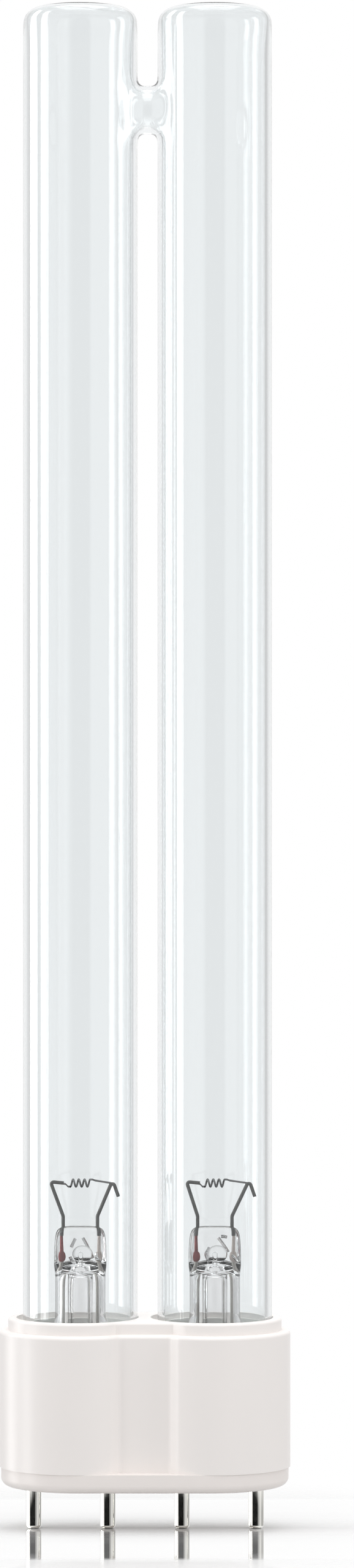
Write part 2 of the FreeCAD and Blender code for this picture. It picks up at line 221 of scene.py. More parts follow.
def pull_wire(name, route, bends, radius, sides=14):
    """A wire through a list of places in the plane of the pins, with a radius for each bend."""
    route = [Vector(place) for place in route]
    direction = (route[1] - route[0]).normalized()
    lean = math.atan2(direction.x, direction.z)
    piece = start_ring(name, sides, radius, route[0], turn=(0, lean, 0))
    here = route[0]
    for i, bend in enumerate(bends):
        corner = route[i + 1]
        ahead = (route[i + 2] - corner).normalized()
        turn = direction.angle(ahead)
        start = corner - direction * (bend * math.tan(turn / 2))
        pull(start - here)
        axis = direction.cross(ahead).normalized()
        centre = start + axis.cross(direction) * bend
        spin(turn, centre, axis, max(3, round(math.degrees(turn) / BEND_STEP)))
        here = corner + ahead * (bend * math.tan(turn / 2))
        direction = ahead
    pull(route[-1] - here)
    close_end(route[0], route[1])
    close_end(route[-1], route[-2])
    tidy_mesh()
    return piece


# %% Finishing helpers
def smooth(piece, angle=35):
    """Shade a piece smooth, with sharp edges where its faces meet at more than an angle."""
    hold(piece)
    bpy.ops.object.shade_smooth_by_angle(angle=math.radians(angle))


def apply_modifier(piece, kind, **values):
    """Add one modifier, set its values and apply it."""
    hold(piece)
    modifier = piece.modifiers.new(kind.title(), kind)
    for key, value in values.items():
        setattr(modifier, key, value)
    bpy.ops.object.modifier_apply(modifier=modifier.name)


def carve(piece, tool, operation="DIFFERENCE"):
    """Cut a piece with a tool, or weld the tool on, and throw the tool away."""
    apply_modifier(piece, "BOOLEAN", operation=operation, object=tool, solver="EXACT")
    bpy.data.objects.remove(tool)


def finish_piece(piece, node, material):
    """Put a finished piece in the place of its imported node."""
    piece.data.materials.clear()
    piece.data.materials.append(material)
    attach(piece, "root")
    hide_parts(node)
    print(piece.name, len(piece.data.polygons), "faces")


# %% [markdown]
# ## Finishes
# Every finish is a small graph of nodes. A node is added and its inputs are set or linked in one
# line, so that a graph reads from its source to its result. Two effects are used by more than one
# finish, a slow waver of the surface and a soft mottle of two colours, so each is made once, as a
# node group with named sockets.

# %% Node helpers
CHOICES = {"ShaderNodeMix": "data_type", "ShaderNodeGroup": "node_tree"}


def set_inputs(tree, node, **inputs):
    """Set or link a node's inputs, by name with _ for each space, or by place as i0, i1 or i2."""
    for key, value in inputs.items():
        key = int(key[1:]) if key[1:].isdigit() else key.replace("_", " ")
        if isinstance(value, bpy.types.NodeSocket):
            tree.links.new(value, node.inputs[key])
        else:
            node.inputs[key].default_value = value
    return node


def add_node(tree, kind, choice=None, **inputs):
    """Add a node, choose its operation, data type or group, and set or link its inputs."""
    node = tree.nodes.new(kind)
    if choice:
        setattr(node, CHOICES.get(kind, "operation"), choice)
    return set_inputs(tree, node, **inputs)


def graded(tree, value, stops):
    """A level that changes with a value, from pairs of the value and the level there."""
    first, last = stops[0][0], stops[-1][0]
    share = add_node(tree, "ShaderNodeMapRange", Value=value, From_Min=first, From_Max=last)
    ramp = add_node(tree, "ShaderNodeValToRGB", Fac=share.outputs["Result"])
    elements = ramp.color_ramp.elements
    while len(elements) < len(stops):
        elements.new(0.5)
    for element, (at, level) in zip(elements, stops):
        element.position = (at - first) / (last - first)
        element.color = (level, level, level, 1)
    return ramp.outputs["Color"]


# %% Node groups shared by the finishes
def new_group(name, inputs, outputs):
    """A node group. Inputs are a name, a kind and a first value, outputs a name and a kind."""
    group = bpy.data.node_groups.new(name, "ShaderNodeTree")
    for label, kind, value in inputs:
        socket = group.interface.new_socket(name=label, in_out="INPUT", socket_type=kind)
        if value is not None:
            socket.default_value = value
    for label, kind in outputs:
        group.interface.new_socket(name=label, in_out="OUTPUT", socket_type=kind)
    return group


def waver_group():
    """A slow unevenness of a surface, as drawn glass and moulded plastic have it."""
    group = new_group(
        "slow_waver",
        [
            ("Vector", "NodeSocketVector", None),
            ("Scale", "NodeSocketFloat", 100.0),
            ("Stretch", "NodeSocketVector", (1.0, 1.0, 1.0)),
            ("Strength", "NodeSocketFloat", 0.1),
            ("Depth", "NodeSocketFloat", 0.0001),
        ],
        [("Normal", "NodeSocketVector")],
    )
    given = group.nodes.new("NodeGroupInput").outputs
    squeeze = add_node(group, "ShaderNodeVectorMath", "MULTIPLY", i0=given["Vector"], i1=given["Stretch"])
    noise = add_node(
        group, "ShaderNodeTexNoise", Vector=squeeze.outputs[0], Scale=given["Scale"], Detail=2.0
    )
    bump = add_node(
        group, "ShaderNodeBump", Height=noise.outputs["Fac"], Strength=given["Strength"],
        Distance=given["Depth"],
    )
    add_node(group, "NodeGroupOutput", Normal=bump.outputs["Normal"])
    return group


def mottle_group():
    """Two close colours mixed in soft clouds, for surfaces that aren't quite even."""
    group = new_group(
        "soft_mottle",
        [
            ("Vector", "NodeSocketVector", None),
            ("Scale", "NodeSocketFloat", 100.0),
            ("Colour A", "NodeSocketColor", (1, 1, 1, 1)),
            ("Colour B", "NodeSocketColor", (1, 1, 1, 1)),
            ("Rough A", "NodeSocketFloat", 0.3),
            ("Rough B", "NodeSocketFloat", 0.4),
        ],
        [("Colour", "NodeSocketColor"), ("Roughness", "NodeSocketFloat")],
    )
    given = group.nodes.new("NodeGroupInput").outputs
    noise = add_node(group, "ShaderNodeTexNoise", Vector=given["Vector"], Scale=given["Scale"], Detail=4.0)
    cloud = noise.outputs["Fac"]
    mix = add_node(group, "ShaderNodeMix", "RGBA", Factor=cloud, A=given["Colour A"], B=given["Colour B"])
    spread = add_node(
        group, "ShaderNodeMapRange", Value=cloud, To_Min=given["Rough A"], To_Max=given["Rough B"]
    )
    add_node(group, "NodeGroupOutput", Colour=mix.outputs["Result"], Roughness=spread.outputs["Result"])
    return group


WAVER = waver_group()
MOTTLE = mottle_group()
print("node groups", WAVER.name, MOTTLE.name)

# %% [markdown]
# ### Glass, and everything else
# Clear glass has hardly any colour of its own. What the eye reads is what it bends and mirrors: the
# white room, and the bright strips of two tall lamps. A Principled shader with full transmission
# gives that. In a path tracer plain glass also blocks lamp rays, and then all that stands inside the
# tube goes dark. So for shadow rays only, the glass is swapped for a plain see-through shader. The
# dark rims of thick pressed glass, where its surface is steep, are painted shade: the stems' colour
# is darkened where they are seen edge on. Plastic, metal and cement share one recipe and differ in
# their values.

# %% Material helpers
STEEP_FROM, STEEP_TO = 0.35, 0.85
STEM_SHINE = (0.3, 0.3, 0.3, 1)
LAMP_LIGHT_KEPT = (0.975, 0.98, 0.98, 1)
GLASS_WAVE_SCALE = 120.0


def new_material(name):
    """A material, its Principled shader and the object's own coordinates."""
    material = bpy.data.materials.new(name)
    material.use_nodes = True
    nodes = material.node_tree.nodes
    return material, nodes["Principled BSDF"], nodes.new("ShaderNodeTexCoord").outputs["Object"]


def glass(name, colour, ior, waver, stretch, edge=None):
    """Clear glass with a slow waver that lets lamp rays through. An edge colour paints shade where it is
    steep.
    """
    material, shader, place = new_material(name)
    tree = material.node_tree
    wave = add_node(
        tree, "ShaderNodeGroup", WAVER, Vector=place, Scale=GLASS_WAVE_SCALE, Strength=waver, Stretch=stretch
    )
    set_inputs(
        tree, shader, Base_Color=(*colour, 1), Roughness=0.0, IOR=ior, Transmission_Weight=1.0,
        Normal=wave.outputs["Normal"],
    )
    # the edge colour is painted shade: it darkens the glass where it is seen edge on, in place of the dark
    # surroundings that steep glass bends and mirrors
    if edge:
        slant = tree.nodes.new("ShaderNodeLayerWeight").outputs["Facing"]
        steep = add_node(tree, "ShaderNodeMapRange", Value=slant, From_Min=STEEP_FROM, From_Max=STEEP_TO)
        painted_edge_shade = add_node(
            tree, "ShaderNodeMix", "RGBA", Factor=steep.outputs["Result"], A=(*colour, 1), B=(*edge, 1)
        )
        set_inputs(tree, shader, Base_Color=painted_edge_shade.outputs["Result"], Specular_Tint=STEM_SHINE)
    clear = add_node(tree, "ShaderNodeBsdfTransparent", Color=LAMP_LIGHT_KEPT)
    path = tree.nodes.new("ShaderNodeLightPath").outputs
    swap = add_node(
        tree, "ShaderNodeMixShader", Fac=path["Is Shadow Ray"], i1=shader.outputs["BSDF"],
        i2=clear.outputs["BSDF"],
    )
    set_inputs(tree, tree.nodes["Material Output"], Surface=swap.outputs["Shader"])
    return material


def solid(name, colour_a, colour_b, rough, scale, metal=0.0, bump=0.0):
    """Plastic, metal or cement: two close colours in clouds and, if asked, a fine unevenness."""
    material, shader, place = new_material(name)
    tree = material.node_tree
    clouds = add_node(
        tree, "ShaderNodeGroup", MOTTLE, Vector=place, Scale=scale, Colour_A=(*colour_a, 1),
        Colour_B=(*colour_b, 1), Rough_A=rough[0], Rough_B=rough[1],
    )
    set_inputs(
        tree, shader, Metallic=metal, Base_Color=clouds.outputs["Colour"],
        Roughness=clouds.outputs["Roughness"],
    )
    if bump:
        wave = add_node(tree, "ShaderNodeGroup", WAVER, Vector=place, Scale=scale, Strength=bump)
        set_inputs(tree, shader, Normal=wave.outputs["Normal"])
    return material


# %% Make each finish once
CLEAR_GLASS = glass("clear_glass", (0.908, 0.926, 0.932), 1.47, 0.012, (1, 1, 0.08))
# the stems' dark edge colour is painted shade on their steep rims
STEM_GLASS = glass("stem_glass", (0.985, 0.98, 0.98), 1.56, 0.08, (1, 1, 0.4), edge=(0.2, 0.19, 0.19))
# the rest: two colours, a range of roughness, how fine the clouds are, and metal or bump
WHITE_PLASTIC = solid(
    "white_plastic", (0.915, 0.87, 0.845), (0.875, 0.84, 0.82), (0.3, 0.42), 90.0, bump=0.04
)
PLATE_PLASTIC = solid(
    "plate_plastic", (0.89, 0.835, 0.805), (0.85, 0.805, 0.78), (0.32, 0.44), 90.0, bump=0.04
)
CEMENT = solid("cement", (0.93, 0.91, 0.88), (0.86, 0.84, 0.8), (0.8, 0.95), 900.0, bump=0.3)
PIN_METAL = solid("pin_metal", (0.92, 0.91, 0.87), (0.86, 0.85, 0.8), (0.05, 0.12), 700.0, metal=1.0)
NICKEL_WIRE = solid(
    "nickel_wire", (0.1, 0.1, 0.095), (0.045, 0.045, 0.045), (0.35, 0.55), 900.0, metal=0.7
)
COPPER_WIRE = solid(
    "copper_wire", (0.3, 0.05, 0.05), (0.04, 0.015, 0.015), (0.35, 0.55), 1400.0, metal=0.4
)
DULL_COPPER = solid("dull_copper", (0.5, 0.44, 0.41), (0.36, 0.31, 0.29), (0.4, 0.6), 900.0, metal=0.4)
TINNED_WIRE = solid("tinned_wire", (0.4, 0.385, 0.36), (0.3, 0.28, 0.26), (0.4, 0.55), 900.0, metal=0.6)
TUNGSTEN = solid("tungsten", (0.2, 0.2, 0.2), (0.1, 0.1, 0.1), (0.4, 0.6), 1500.0, metal=0.8)
print("finishes", len(bpy.data.materials))

# %% [markdown]
# ## The glass envelope
# On the real lamp two tubes are drawn, their tops melted shut, and their walls blown through and
# fused to each other near the top, which leaves a short neck with a thin bead where they met. Here
# each tube is a pulled ring. A round hole is opened in each wall, the neck is pulled out of both
# holes, and the two ends are bridged. The wall comes last, from one Solidify, so that it is as even
# as blown glass. A vertex group makes it thinner at the crowns, where the melted glass drew out.
# One level of Subdivision rounds it all.

# %% Sizes of the tubes
SIDES = 48
SUBDIVIDED = 0.75 + 0.25 * math.cos(2 * math.pi / SIDES)
RING_R = TUBE_R / SUBDIVIDED
BRIDGE_Z = TUBE_TOP - 16.1 * MM
HOLE_R = 4.3 * MM
HOLE_RINGS = 4
FOOT_RING_Z = TUBE_BOTTOM + 1 * MM
PLAIN_RINGS = 16
NEAR_HOLE, OFF_HOLE = 1.2 * MM, 3 * MM
CROWN_HIGH = 6 * MM
CORNER_R = 2.3 * MM
CREST = 0.45 * MM
TOP_Z = TUBE_TOP - CREST
DOME = 0.5 * MM
DOME_REACH = 0.72
CROWN_WALL = 0.45


# %% Pull the two tubes
def tube_stations():
    """Heights and radii up one tube: even, with close rings round the bridge, then the melted top."""
    low_guard = BRIDGE_Z - HOLE_R - OFF_HOLE
    plain = low_guard - FOOT_RING_Z
    heights = [TUBE_BOTTOM]
    heights += [FOOT_RING_Z + plain * i / PLAIN_RINGS for i in range(PLAIN_RINGS + 1)]
    heights.append(BRIDGE_Z - HOLE_R - NEAR_HOLE)
    heights += [BRIDGE_Z + HOLE_R * i / HOLE_RINGS for i in range(-HOLE_RINGS, HOLE_RINGS + 1)]
    heights += [BRIDGE_Z + HOLE_R + NEAR_HOLE, BRIDGE_Z + HOLE_R + OFF_HOLE, TUBE_TOP - CROWN_HIGH]
    pairs = [(z, RING_R) for z in heights]
    for degrees in (0, 20, 40, 60, 80):
        angle = math.radians(degrees)
        inward = CORNER_R * (1 - math.cos(angle))
        pairs.append((TOP_Z - DOME - CORNER_R + CORNER_R * math.sin(angle), RING_R - inward))
    for share in (0.6, 0.45, 0.32, 0.18, 0.06):
        pairs.append((TOP_Z - DOME * (share / DOME_REACH) ** 2, TUBE_R * share))
    return round_stations(pairs)


tubes = []
for side, x in TUBE_XS.items():
    tube = pull_rings("tube_" + side, SIDES, x, tube_stations(), close_first=False)
    tidy_mesh()
    tubes.append(tube)
print("tubes", [len(tube.data.vertices) for tube in tubes], "vertices")

# %% Open a round hole in each wall, where the tubes face each other
hold(tubes[0])
tubes[1].select_set(True)
bpy.ops.object.join()
envelope = bpy.context.object
envelope.name = envelope.data.name = "clear_glass_tubes"
PATCH_ANGLE = 8 * math.pi / SIDES
PATCH_Y = RING_R * math.sin(PATCH_ANGLE) + 0.1 * MM


def facing(face, middle):
    """Is this face in the square patch of wall that faces the other tube?"""
    near = abs(middle.x - GLASS_X) < TUBE_OFFSET - TUBE_R / 2
    return near and abs(middle.y) < PATCH_Y and abs(middle.z - BRIDGE_Z) < HOLE_R


def on_rim(edge, middle):
    """Is this edge on the rim of a hole, and not on a tube's open foot?"""
    return edge.is_boundary and middle.z > FOOT_RING_Z


def round_off_hole(side):
    """Move the square hole's edge onto a circle that lies on the tube's wall."""
    bm = bmesh.from_edit_mesh(envelope.data)
    rim = [v for v in bm.verts if v.select and (v.co.x - GLASS_X) * side > 0]
    rim.sort(key=lambda v: math.atan2(v.co.z - BRIDGE_Z, v.co.y) % (2 * math.pi - 1e-4))
    for i, vertex in enumerate(rim):
        angle = 2 * math.pi * i / len(rim)
        y = HOLE_R * math.cos(angle)
        x = GLASS_X + side * (TUBE_OFFSET - math.sqrt(RING_R**2 - y**2))
        vertex.co = (x, y, BRIDGE_Z + HOLE_R * math.sin(angle))
    bmesh.update_edit_mesh(envelope.data)
    return len(rim)


bpy.ops.object.mode_set(mode="EDIT")
removed = pick("FACE", facing)
bpy.ops.mesh.delete(type="FACE")
pick("EDGE", on_rim)
rims = [round_off_hole(side) for side in (-1, 1)]
print("faces opened", removed, "rim vertices", rims)

# %% Pull the neck out of both holes and bridge it with a bead
NECK_R = 3.5 * MM
BEAD_R = 3.68 * MM
# how far from the middle each ring of the neck stands, and its radius
NECK_RINGS = [(1.1 * MM, 3.75 * MM), (0.45 * MM, NECK_R)]


def pull_neck(side):
    """From one hole's rim, two rings towards the middle, each flattened and drawn in."""
    pick("EDGE", lambda edge, middle: on_rim(edge, middle) and (middle.x - GLASS_X) * side > 0)
    radius = HOLE_R
    for out, next_radius in NECK_RINGS:
        pull((0, 0, 0))
        share = next_radius / radius
        scale_picked((GLASS_X + side * out, 0, BRIDGE_Z), x=0.0, y=share, z=share)
        radius = next_radius


for side in (-1, 1):
    pull_neck(side)
pick("EDGE", on_rim)
bpy.ops.mesh.bridge_edge_loops(number_cuts=1)
pick("VERT", lambda vertex, middle: abs(middle.x - GLASS_X) < 0.1 * MM and abs(middle.y) < HOLE_R)
scale_picked((GLASS_X, 0, BRIDGE_Z), y=BEAD_R / NECK_R, z=BEAD_R / NECK_R)
tidy_mesh()
print("envelope open shell", len(envelope.data.polygons), "faces")

# %% Melt the tops unevenly
# millimetres: how far from the tube's middle in x and y, how wide, and how far up
MELTS = {
    "left": [(-1.0, 0, 3.4, 0.36), (-0.4, -1.0, 2.0, -0.3), (4.8, 0, 4.0, -0.25), (1.6, 3.0, 3.0, 0.2)],
    "right": [(1.4, 0, 3.0, 0.3), (0.6, 0.5, 2.0, -0.3), (-4.2, -1.0, 3.4, 0.2), (6.8, 1, 3.0, -0.2)],
}


def nudge(middle, reach, rise):
    """Push the surface near a place up or down, fading out over a reach."""
    bm = bmesh.from_edit_mesh(envelope.data)
    for vertex in bm.verts:
        away = (vertex.co - Vector(middle)).length / reach
        if away < 1:
            vertex.co.z += rise * (1 - away**2) ** 2
    bmesh.update_edit_mesh(envelope.data)


bpy.ops.object.mode_set(mode="EDIT")
for side, melts in MELTS.items():
    for dx, y, reach, rise in melts:
        nudge((TUBE_XS[side] + dx * MM, y * MM, TOP_Z), reach * MM, rise * MM)
bpy.ops.object.mode_set(mode="OBJECT")
print("top after melting", round(max(v.co.z for v in envelope.data.vertices) / MM, 3), "mm")

# %% Give the glass its wall and round it
wall = envelope.vertex_groups.new(name="wall")
for vertex in envelope.data.vertices:
    below = (TOP_Z - DOME - vertex.co.z) / (2 * CORNER_R)
    wall.add([vertex.index], min(1.0, max(0.0, below)), "REPLACE")
apply_modifier(
    envelope, "SOLIDIFY", thickness=TUBE_WALL, offset=-1.0, use_even_offset=True, vertex_group="wall",
    thickness_vertex_group=CROWN_WALL,
)
apply_modifier(envelope, "SUBSURF", levels=1, render_levels=1)
smooth(envelope, 60)
finish_piece(envelope, "glass_envelope", CLEAR_GLASS)

# %% [markdown]
# ## The stems
# Each tube is closed at its foot by a stem: a flared glass tube whose lip is melted to the tube's
# end. Its top was squeezed flat round the wires while it was soft, and a thinner tube runs down
# from there, through which the air was pumped out. One ring is pulled the whole way: over the flat
# pinch, down the outside to the lip, back up the inside, and down the thin tube to its tip. The
# thin tube's bore, the small blow hole over it and the marks of the jaws are then carved out.

# %% Sizes of the stem
STEM_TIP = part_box("stem_left")[0].z
STEM_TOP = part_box("stem_left")[1].z
STEM_SIDES = 56
STEM_R = 3.75 * MM
STEM_BORE_R = 3.0 * MM
PINCH_BOTTOM = STEM_TOP - 6.95 * MM
PINCH_FACE_Y = 1.5 * MM
FLARE_END = PINCH_BOTTOM - 5.9 * MM
FLARE_STEPS = 8
FLARE_POWER = 2.6
LIP_R = TUBE_R - TUBE_WALL
LIP_THICK = 0.75 * MM
LIP_HIGH = 1.2 * MM
LIP_SOFT = 0.1 * MM
BORE_TOP = PINCH_BOTTOM + 0.3 * MM
EXHAUST_R = 1.85 * MM
EXHAUST_BORE_R = 1.25 * MM
CHANNEL_R = 0.4 * MM
HOLE_Z = PINCH_BOTTOM + 2.9 * MM
HOLE_ASIDE = 0.35 * MM
HOLE_Y = -1.45 * MM
HOLE_SIZE = (1.5, 1.35, 1.3)
MARK_Y = -1.56 * MM
MARK_HALF_WIDE = 0.25 * MM
MARK_DEPTH = 0.85 * MM
MARK_BEND = 0.5 * MM
# jaw marks in each pinch's front: places from the tube's middle and the pinch's foot, in millimetres
JAW_MARKS = {
    "left": [
        [(0.4, 5.3), (0.9, 4.4), (1.9, 2.3)],
        [(-0.7, 5.2), (-1.0, 4.6), (-1.3, 3.9)],
        [(-1.5, 2.5), (-1.2, 1.9), (-0.7, 1.5)],
        [(2.3, 3.0), (2.4, 2.3), (3.1, 1.8)],
    ],
    "right": [
        [(0.5, 5.3), (1.1, 4.5), (2.0, 3.2)],
        [(-0.8, 3.9), (-1.35, 2.9), (-0.9, 1.7)],
        [(0.9, 5.5), (1.3, 5.5), (1.8, 5.4)],
        [(2.6, 2.8), (3.0, 2.2), (3.3, 1.6)],
    ],
}


# %% The stem's outline
def pinch_stations():
    """From the flat top edge down to the round stem: narrow, wide and flat, then round again."""
    shares = [
        (1.0, 0.35, 0.3), (0.995, 0.62, 0.75), (0.97, 0.8, 1.2), (0.92, 0.91, 1.55), (0.84, 0.98, 1.8),
        (0.7, 1.02, 1.9), (0.45, 1.04, 1.9), (0.21, 1.04, 1.9), (0.15, 1.04, 2.35), (0.09, 1.03, 3.0),
        (0.03, 1.01, 3.55),
    ]
    tall = STEM_TOP - PINCH_BOTTOM
    return [(PINCH_BOTTOM + tall * up, STEM_R * wide, deep * MM) for up, wide, deep in shares]


def flare_stations(lip_r, stem_r):
    """The trumpet from the straight stem down to the lip, on a curve that opens ever faster."""
    fall = TUBE_BOTTOM + LIP_HIGH - FLARE_END
    shares = [i / FLARE_STEPS for i in range(FLARE_STEPS + 1)]
    pairs = [(FLARE_END + fall * share, stem_r + (lip_r - stem_r) * share**FLARE_POWER) for share in shares]
    return round_stations(pairs)


def stem_stations():
    """All the way round the stem's section, from the top's middle to the exhaust tube's tip."""
    inner_lip_r = LIP_R - LIP_THICK
    outside = [(PINCH_BOTTOM - 1.0 * MM, STEM_R), ((PINCH_BOTTOM + FLARE_END) / 2, STEM_R)]
    lip = [
        (TUBE_BOTTOM + LIP_SOFT, LIP_R),
        (TUBE_BOTTOM, LIP_R - LIP_SOFT),
        (TUBE_BOTTOM, inner_lip_r + LIP_SOFT),
        (TUBE_BOTTOM + LIP_SOFT, inner_lip_r),
    ]
    inside = [
        ((BORE_TOP + FLARE_END) / 2, STEM_BORE_R),
        (BORE_TOP - 0.8 * MM, STEM_BORE_R),
        (BORE_TOP - 0.25 * MM, STEM_BORE_R - 0.2 * MM),
        (BORE_TOP, STEM_BORE_R - 0.55 * MM),
        (BORE_TOP - 0.25 * MM, EXHAUST_R + 0.2 * MM),
        (BORE_TOP - 0.8 * MM, EXHAUST_R),
        (BORE_TOP - 6 * MM, EXHAUST_R),
        (STEM_TIP + 2.2 * MM, EXHAUST_R),
        (STEM_TIP + 1.0 * MM, EXHAUST_R * 0.72),
        (STEM_TIP + 0.1 * MM, EXHAUST_R * 0.34),
        (STEM_TIP, EXHAUST_R * 0.2),
    ]
    down = pinch_stations() + round_stations(outside) + flare_stations(LIP_R, STEM_R)
    up = list(reversed(flare_stations(inner_lip_r, STEM_BORE_R)))
    return down + round_stations(lip) + up + round_stations(inside)


# %% Pull, flatten and carve each stem
def flatten_pinch():
    """Press the pinch's two broad faces flat, as the two jaws left them."""
    low, high = PINCH_BOTTOM + 1.3 * MM, STEM_TOP - 0.5 * MM
    for side in (-1, 1):
        pick("VERT", lambda vertex, middle: side * middle.y > PINCH_FACE_Y and low < middle.z < high)
        scale_picked((0, side * PINCH_FACE_Y, 0), y=0)


def exhaust_bore(x):
    """The space inside the thin tube: a long bore with a round top and a narrower channel over it."""
    pairs = [
        (STEM_TIP + 2.6 * MM, 0.3 * MM),
        (STEM_TIP + 3.2 * MM, EXHAUST_BORE_R * 0.8),
        (STEM_TIP + 4.0 * MM, EXHAUST_BORE_R),
        (BORE_TOP - 6 * MM, EXHAUST_BORE_R),
        (BORE_TOP - 0.9 * MM, EXHAUST_BORE_R),
        (BORE_TOP - 0.4 * MM, EXHAUST_BORE_R * 0.88),
        (BORE_TOP - 0.1 * MM, EXHAUST_BORE_R * 0.6),
        (BORE_TOP, CHANNEL_R),
        (HOLE_Z, CHANNEL_R),
        (HOLE_Z + 0.3 * MM, CHANNEL_R / 2),
    ]
    bore = pull_rings("bore", 32, x, round_stations(pairs))
    tidy_mesh()
    return bore


def blow_hole(x):
    """The hole in the pinch's front, through which the thin tube opens into the lamp."""
    deselect_all()
    bpy.ops.mesh.primitive_uv_sphere_add(segments=32, ring_count=16, radius=1 * MM, location=(0, 0, 0))
    hole = bpy.context.object
    hole.scale = HOLE_SIZE
    hole.location = (x + HOLE_ASIDE, HOLE_Y, HOLE_Z)
    bpy.ops.object.transform_apply(location=True, rotation=True, scale=True)
    return hole


def jaw_mark(x, mark):
    """A thin tool for one mark: a wire of four sides, made deeper so that it cuts a V."""
    route = [(x + dx * MM, MARK_Y, PINCH_BOTTOM + dz * MM) for dx, dz in mark]
    score = pull_wire("score", route, (MARK_BEND,), MARK_HALF_WIDE, sides=4)
    bpy.ops.object.mode_set(mode="EDIT")
    bpy.ops.mesh.select_all(action="SELECT")
    scale_picked((0, MARK_Y, 0), y=MARK_DEPTH / MARK_HALF_WIDE)
    bpy.ops.object.mode_set(mode="OBJECT")
    return score


def make_stem(side):
    """Pull one stem, press its pinch flat, round it and carve it."""
    x = TUBE_XS[side]
    stem = pull_rings("glass_stem_" + side, STEM_SIDES, x, stem_stations())
    flatten_pinch()
    tidy_mesh()
    apply_modifier(stem, "SUBSURF", levels=1, render_levels=1)
    carve(stem, exhaust_bore(x))
    carve(stem, blow_hole(x))
    for mark in JAW_MARKS[side]:
        carve(stem, jaw_mark(x, mark))
    hold(stem)
    bpy.ops.object.mode_set(mode="EDIT")
    tidy_mesh()
    smooth(stem, 40)
    finish_piece(stem, "stem_" + side, STEM_GLASS)


for side in TUBE_XS:
    make_stem(side)

# %% [markdown]
# ## Wires
# The wires carry the current in: a soft wire up from each pin, a short copper-clad stretch that
# seals in the pinch, and a stiff bent wire that holds the cathode and is folded over its end. A
# bevelled curve would be quick, but its bends are hard to give a radius. Here a ring is pulled along
# each straight and spun round each corner, which is how wire is bent round a former.

# %% Sizes of the wires
LEAD_X = 2.55 * MM
LEAD_BEND_Z = STEM_TOP + 1.45 * MM
COIL_Z = STEM_TOP + 6.35 * MM
SEAL_BOTTOM = PINCH_BOTTOM + 1.6 * MM
SEAL_TOP = STEM_TOP - 1.5 * MM
SUPPORT_R = 0.27 * MM
SUPPORT_BENDS = (0.9 * MM, 0.33 * MM)
WRAP_HIGH, WRAP_LONG = 0.2 * MM, 2.0 * MM
HOOK_HIGH, HOOK_OUT, HOOK_DOWN = 0.45 * MM, 0.85 * MM, 2.0 * MM
SOFT_WIRE_R = 0.25 * MM
SOFT_BENDS = (1.6 * MM, 1.6 * MM)
SOFT_FROM_Z, SOFT_TO_Z = 15.5 * MM, 10.0 * MM
LEADS = {
    "left": {"numbers": (1, 2), "ends": (4.45 * MM, 4.8 * MM)},
    "right": {"numbers": (3, 4), "ends": (4.2 * MM, 5.1 * MM)},
}


# %% Bend the leads of both tubes
def pin_x(number):
    """How far along the row a pin stands."""
    low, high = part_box(f"contact_pin_{number}")
    return (low.x + high.x) / 2


def make_support(number, foot, tip, hand):
    """The stiff wire: the left one is folded inwards along the tail, the right one hooks over."""
    if hand < 0:
        corner = (tip, 0, COIL_Z + WRAP_HIGH)
        fold = (tip + WRAP_LONG, 0, COIL_Z)
    else:
        corner = (tip, 0, COIL_Z + HOOK_HIGH)
        fold = (tip + HOOK_OUT, 0, COIL_Z - HOOK_DOWN)
    route = [(foot, 0, SEAL_TOP), (foot, 0, LEAD_BEND_Z), corner, fold]
    wire = pull_wire(f"support_wire_{number}", route, SUPPORT_BENDS, SUPPORT_R)
    smooth(wire, 50)
    finish_piece(wire, f"inner_lead_{number}", NICKEL_WIRE)


def make_seal(number, foot, hand):
    """The copper-clad wire, squeezed wide where the glass was pressed on it hardest."""
    shape = [
        (0.0, 0.2, 0.2), (0.06, 0.38, 0.22), (0.2, 0.45, 0.22), (0.34, 0.38, 0.22), (0.42, 0.22, 0.2),
        (1.0, 0.2, 0.2), (1.0, 0.02, 0.02),
    ]
    tall = SEAL_TOP - SEAL_BOTTOM
    stations = [(SEAL_BOTTOM + tall * up, wide * MM, deep * MM) for up, wide, deep in shape]
    wire = pull_rings(f"sealed_wire_{number}", 14, foot, stations)
    tidy_mesh()
    smooth(wire, 50)
    finish_piece(wire, f"seal_wire_{number}", COPPER_WIRE if hand < 0 else DULL_COPPER)


def make_soft_wire(number, foot):
    """The wire from the pinch down through the stem and across into its pin."""
    end = pin_x(number)
    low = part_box(f"outer_lead_{number}")[0].z
    route = [(foot, 0, SEAL_BOTTOM), (foot, 0, SOFT_FROM_Z), (end, 0, SOFT_TO_Z), (end, 0, low)]
    wire = pull_wire(f"soft_wire_{number}", route, SOFT_BENDS, SOFT_WIRE_R)
    smooth(wire, 50)
    finish_piece(wire, f"outer_lead_{number}", TINNED_WIRE)


for side, x in TUBE_XS.items():
    for hand, number, end in zip((-1, 1), LEADS[side]["numbers"], LEADS[side]["ends"]):
        foot = x + hand * LEAD_X
        make_support(number, foot, x + hand * end, hand)
        make_seal(number, foot, hand)
        make_soft_wire(number, foot)

# %% [markdown]
# ## Coiled cathodes
# Each cathode is a tungsten wire wound in a few open turns, with a straight tail to each lead.
# The Screw modifier is made for this: it turns a small ring round the coil's axis and moves it
# along at the same time. The tails are then spun and pulled out of the coil's own two ends, so the
# wire stays one piece.

# %% Wind the coils
COIL_TURNS = 3.5
COIL_PITCH = 0.85 * MM
COIL_MEAN_R = 0.55 * MM
COIL_WIRE_R = 0.15 * MM
COIL_STEPS = round(COIL_TURNS * 20)
TAIL_BEND = 0.35 * MM
TAIL_SLOPE = 0.35 * MM
TAIL_IN_WRAP = 0.9 * MM
TAIL_RISE = {-1: 0.75, 1: 0.3}


